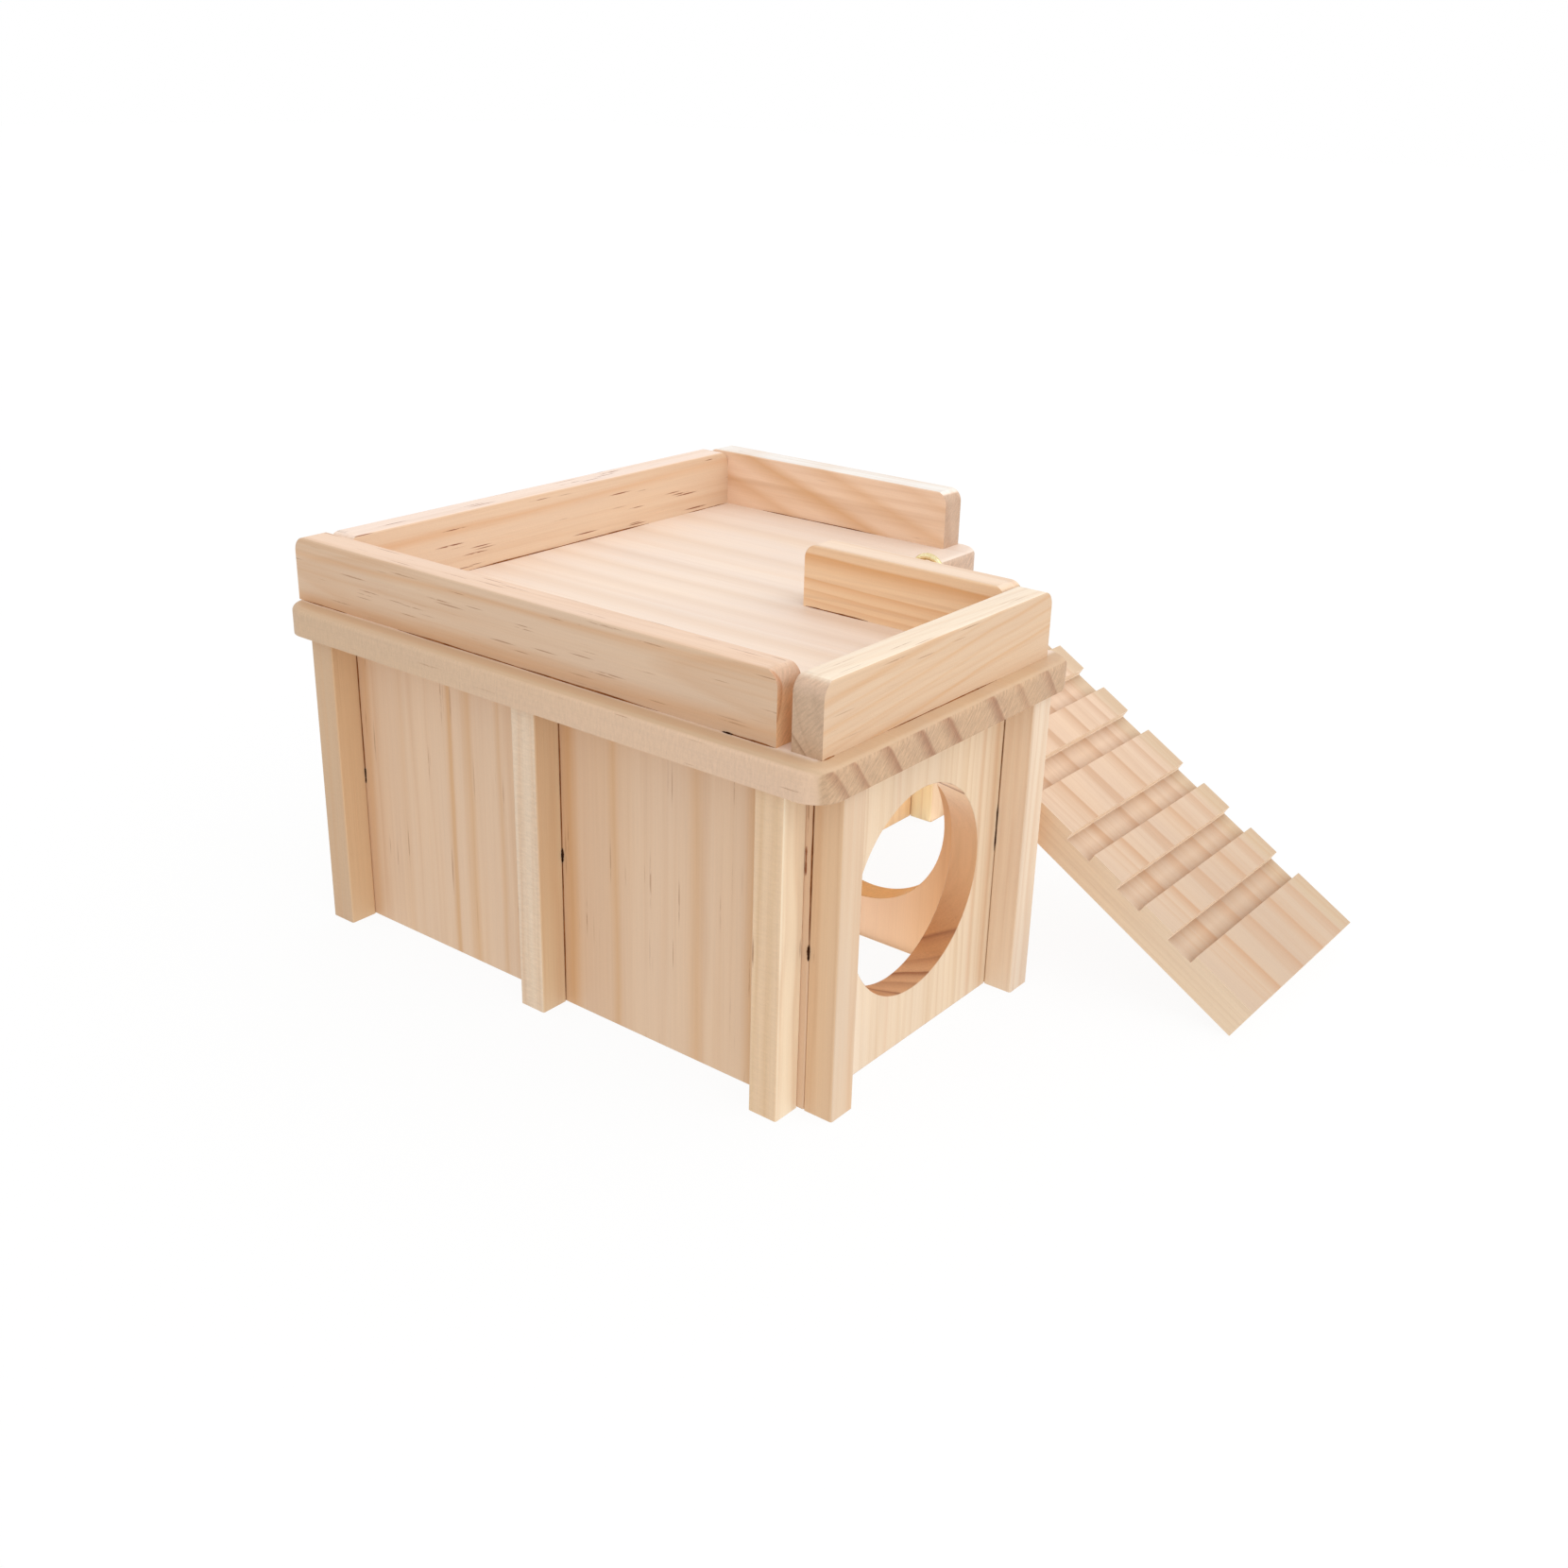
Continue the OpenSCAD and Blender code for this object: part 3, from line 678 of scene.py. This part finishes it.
# Joints that stand a hair open, each a thread of painted shade: both ends from the house's corner and the
# widest half width, in millimetres, and which shade; pitch_near_corner is a real resin streak
OPEN_JOINTS = {
    "gap_front_rail_left": ((3.0, 6.3, 100.75), (22.6, 6.3, 100.75), 0.20, "shaded"),
    "gap_front_rail": ((45.1, 6.3, 100.75), (143.6, 6.3, 100.75), 0.36, "shaded"),
    "gap_front_rail_right": ((165.0, 6.3, 100.75), (180.8, 6.3, 100.75), 0.34, "shaded"),
    "gap_front_rail_notch": ((164.6, 6.2, 100.8), (168.4, 6.2, 100.8), 0.34, "black"),
    "gap_left_rail": ((13.8, 61.3, 100.75), (13.8, 145.1, 100.75), 0.36, "shaded"),
    "gap_left_rail_back": ((13.8, 166.2, 100.75), (13.8, 186.5, 100.75), 0.20, "shaded"),
    "gap_back_rail": ((30.7, 188.2, 100.75), (81.1, 188.2, 100.75), 0.24, "shaded"),
    "gap_inner_rail": ((115.5, 103.4, 100.75), (138.5, 103.4, 100.75), 0.34, "shaded"),
    "gap_right_rail": ((194.3, 33.6, 100.75), (194.3, 84.5, 100.75), 0.22, "shaded"),
    "gap_right_rail_end": ((194.3, 7.6, 100.75), (194.3, 12.0, 100.75), 0.28, "shaded"),
    "gap_left_batten": ((18.3, 11.9, 88.0), (18.3, 11.9, 46.0), 0.22, "shaded"),
    "gap_left_batten_end": ((18.35, 11.85, 50.0), (18.35, 11.85, 44.6), 0.30, "black"),
    "gap_middle_batten": ((102.6, 11.9, 91.5), (102.6, 11.9, 0.6), 0.22, "shaded"),
    "gap_middle_batten_knot": ((102.75, 11.8, 48.6), (102.75, 11.8, 44.2), 0.5, "black"),
    "gap_near_corner": ((188.7, 12.0, 91.5), (188.7, 12.0, 46.0), 0.22, "shaded"),
    "gap_near_corner_end": ((188.7, 11.9, 48.5), (188.7, 11.9, 43.9), 0.45, "black"),
    "pitch_near_corner": ((187.0, 11.95, 75.0), (187.0, 11.95, 67.0), 0.26, "resin"),
    "gap_far_corner": ((188.7, 100.0, 91.5), (188.7, 100.0, 45.0), 0.15, "shaded"),
    "gap_far_corner_end": ((188.7, 99.9, 58.0), (188.7, 99.9, 43.4), 0.30, "black"),
}


def dress():
    """Gives every node its material, and eases the boards' sharp edges while their faces stay flat."""
    for node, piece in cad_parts.items():
        material = pine(node, LOOKS[node]) if node in LOOKS else brass("brass_" + node)
        piece.data.materials.clear()
        piece.data.materials.append(material)
        weld = piece.modifiers.new("weld", "WELD")
        weld.merge_threshold = WELD_WITHIN
        if node in LOOKS:
            ease = piece.modifiers.new("ease", "BEVEL")
            ease.width = EDGE_EASE
            ease.segments = EDGE_STEPS
            ease.limit_method = "ANGLE"
            ease.angle_limit = math.radians(EDGE_ANGLE)
            flat = piece.modifiers.new("flat_faces", "WEIGHTED_NORMAL")
            flat.mode = "FACE_AREA"
            flat.weight = FLAT_WEIGHT


def open_joint(name, start, end, half_width, material):
    """A thin dark thread along a joint, uneven in width and tapered at both ends; most are painted shade, one
    is a resin streak.
    """
    corner = Vector(HOUSE_CORNER)
    start, end = (corner + Vector(start)) * MM, (corner + Vector(end)) * MM
    along = (end - start).normalized()
    side = along.orthogonal().normalized()
    up = along.cross(side)
    length = (end - start).length
    rings = max(THREAD_RINGS, int(length / MM / THREAD_STEP))
    turns = [2.0 * math.pi * k / THREAD_SIDES for k in range(THREAD_SIDES)]
    shape = bmesh.new()
    loops = []
    for i in range(rings + 1):
        share = i / rings
        taper = max(THREAD_THINNEST, min(1.0, THREAD_TAPER * share, THREAD_TAPER * (1.0 - share)))
        slow = SLOW_DEPTH * math.sin(SLOW_RATE * share + length * SLOW_SHIFT_PER_METRE)
        fast = FAST_DEPTH * math.sin(FAST_RATE * share + FAST_SHIFT)
        radius = half_width * MM * taper * (THREAD_STEADY + slow + fast)
        centre = start.lerp(end, share)
        ring = [centre + radius * (side * math.cos(turn) + up * math.sin(turn)) for turn in turns]
        loops.append([shape.verts.new(point) for point in ring])
    for near, far in zip(loops, loops[1:]):
        for k in range(THREAD_SIDES):
            after = (k + 1) % THREAD_SIDES
            shape.faces.new((near[k], near[after], far[after], far[k]))
    shape.faces.new(loops[0][::-1])
    shape.faces.new(loops[-1])
    mesh = bpy.data.meshes.new(name)
    shape.to_mesh(mesh)
    shape.free()
    mesh.materials.append(material)
    piece = bpy.data.objects.new(name, mesh)
    bpy.context.scene.collection.objects.link(piece)
    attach(piece, "house")


def open_joints():
    """All the threads, in their three tones: painted shade in two and resin in one."""
    shades = {shade: gap_shade(*tones) for shade, tones in JOINT_SHADES.items()}
    for name, (start, end, half_width, shade) in OPEN_JOINTS.items():
        open_joint(name, start, end, half_width, shades[shade])


def white_when_seen(tree, light):
    """Strength 1 to the camera and in reflections, and the given level, a number or a socket, as light."""
    path = tree.nodes.new("ShaderNodeLightPath")
    seen = path.outputs["Is Camera Ray"]
    for other in ("Is Glossy Ray", "Is Transmission Ray"):
        either = tree.nodes.new("ShaderNodeMath")
        either.operation = "MAXIMUM"
        tree.links.new(seen, either.inputs[0])
        tree.links.new(path.outputs[other], either.inputs[1])
        seen = either.outputs[0]
    level = tree.nodes.new("ShaderNodeMapRange")
    if isinstance(light, bpy.types.NodeSocket):
        tree.links.new(light, level.inputs["To Min"])
    else:
        level.inputs["To Min"].default_value = light
    level.inputs["To Max"].default_value = 1.0
    tree.links.new(seen, level.inputs["Value"])
    return level.outputs[0]


def room():
    """A white world whose light leans to one side."""
    world = bpy.data.worlds.new("room")
    bpy.context.scene.world = world
    world.use_nodes = True
    tree = world.node_tree
    background = tree.nodes["Background"]
    background.inputs["Color"].default_value = WHITE
    direction = tree.nodes.new("ShaderNodeTexCoord").outputs["Generated"]
    lean = tree.nodes.new("ShaderNodeVectorMath")
    lean.operation = "DOT_PRODUCT"
    lean.inputs[1].default_value = WORLD_LEAN
    tree.links.new(direction, lean.inputs[0])
    light = tree.nodes.new("ShaderNodeMath")
    light.inputs[1].default_value = WORLD_LEVEL
    tree.links.new(lean.outputs["Value"], light.inputs[0])
    tree.links.new(white_when_seen(tree, light.outputs[0]), background.inputs["Strength"])


def key_lamp():
    """One broad lamp, so that shadows are soft."""
    lamp = bpy.data.lights.new("key", "SUN")
    lamp.energy = KEY_LEVEL
    lamp.angle = math.radians(KEY_SOFTNESS)
    key = bpy.data.objects.new("key", lamp)
    key.rotation_euler = Vector(KEY_TOWARDS).to_track_quat("Z", "Y").to_euler()
    bpy.context.scene.collection.objects.link(key)


def fill_lamps():
    """Soft light from the floor inside the house and under the ladder, where the light table shines up."""
    for name, (middle, size) in FILLS.items():
        lamp = bpy.data.lights.new(name, "AREA")
        lamp.shape = "RECTANGLE"
        lamp.size, lamp.size_y = size[0] * MM, size[1] * MM
        lamp.energy = FILL_LEVEL * math.pi * lamp.size * lamp.size_y
        fill = bpy.data.objects.new(name, lamp)
        fill.location = (Vector(HOUSE_CORNER) + Vector((*middle, FILL_HEIGHT))) * MM
        fill.rotation_euler = (math.pi, 0.0, 0.0)
        fill.visible_camera = False
        bpy.context.scene.collection.objects.link(fill)


def light_table():
    """A white floor that gives back the same light everywhere and keeps a faint shadow."""
    half = FLOOR_HALF
    corners = [(-half, -half, 0.0), (half, -half, 0.0), (half, half, 0.0), (-half, half, 0.0)]
    mesh = bpy.data.meshes.new("floor")
    mesh.from_pydata(corners, [], [(0, 1, 2, 3)])
    floor = bpy.data.objects.new("floor", mesh)
    floor.location.z = -FLOOR_DROP * MM
    bpy.context.scene.collection.objects.link(floor)
    g = Graph("floor_white")
    matt = g.add("ShaderNodeBsdfDiffuse", {"Color": (FLOOR_WHITE, FLOOR_WHITE, FLOOR_WHITE, 1.0)})
    strength = white_when_seen(g.tree, FLOOR_LIGHT)
    glow = g.add("ShaderNodeEmission", {"Color": WHITE, "Strength": strength})
    blend = g.add("ShaderNodeMixShader", {0: FLOOR_GLOW, 1: matt.outputs[0], 2: glow.outputs[0]})
    mesh.materials.append(g.surface(blend.outputs[0]))


def camera():
    """Camera at the photograph's angle."""
    data = bpy.data.cameras.new("camera")
    data.lens = CAMERA_LENS
    data.sensor_width = SENSOR
    eye = bpy.data.objects.new("camera", data)
    eye.location = CAMERA_PLACE
    eye.rotation_euler = [math.radians(turn) for turn in CAMERA_TURNS]
    bpy.context.scene.collection.objects.link(eye)
    bpy.context.scene.camera = eye


camera()
dress()
open_joints()
room()
key_lamp()
fill_lamps()
light_table()
bpy.context.scene.view_settings.view_transform = "Standard"
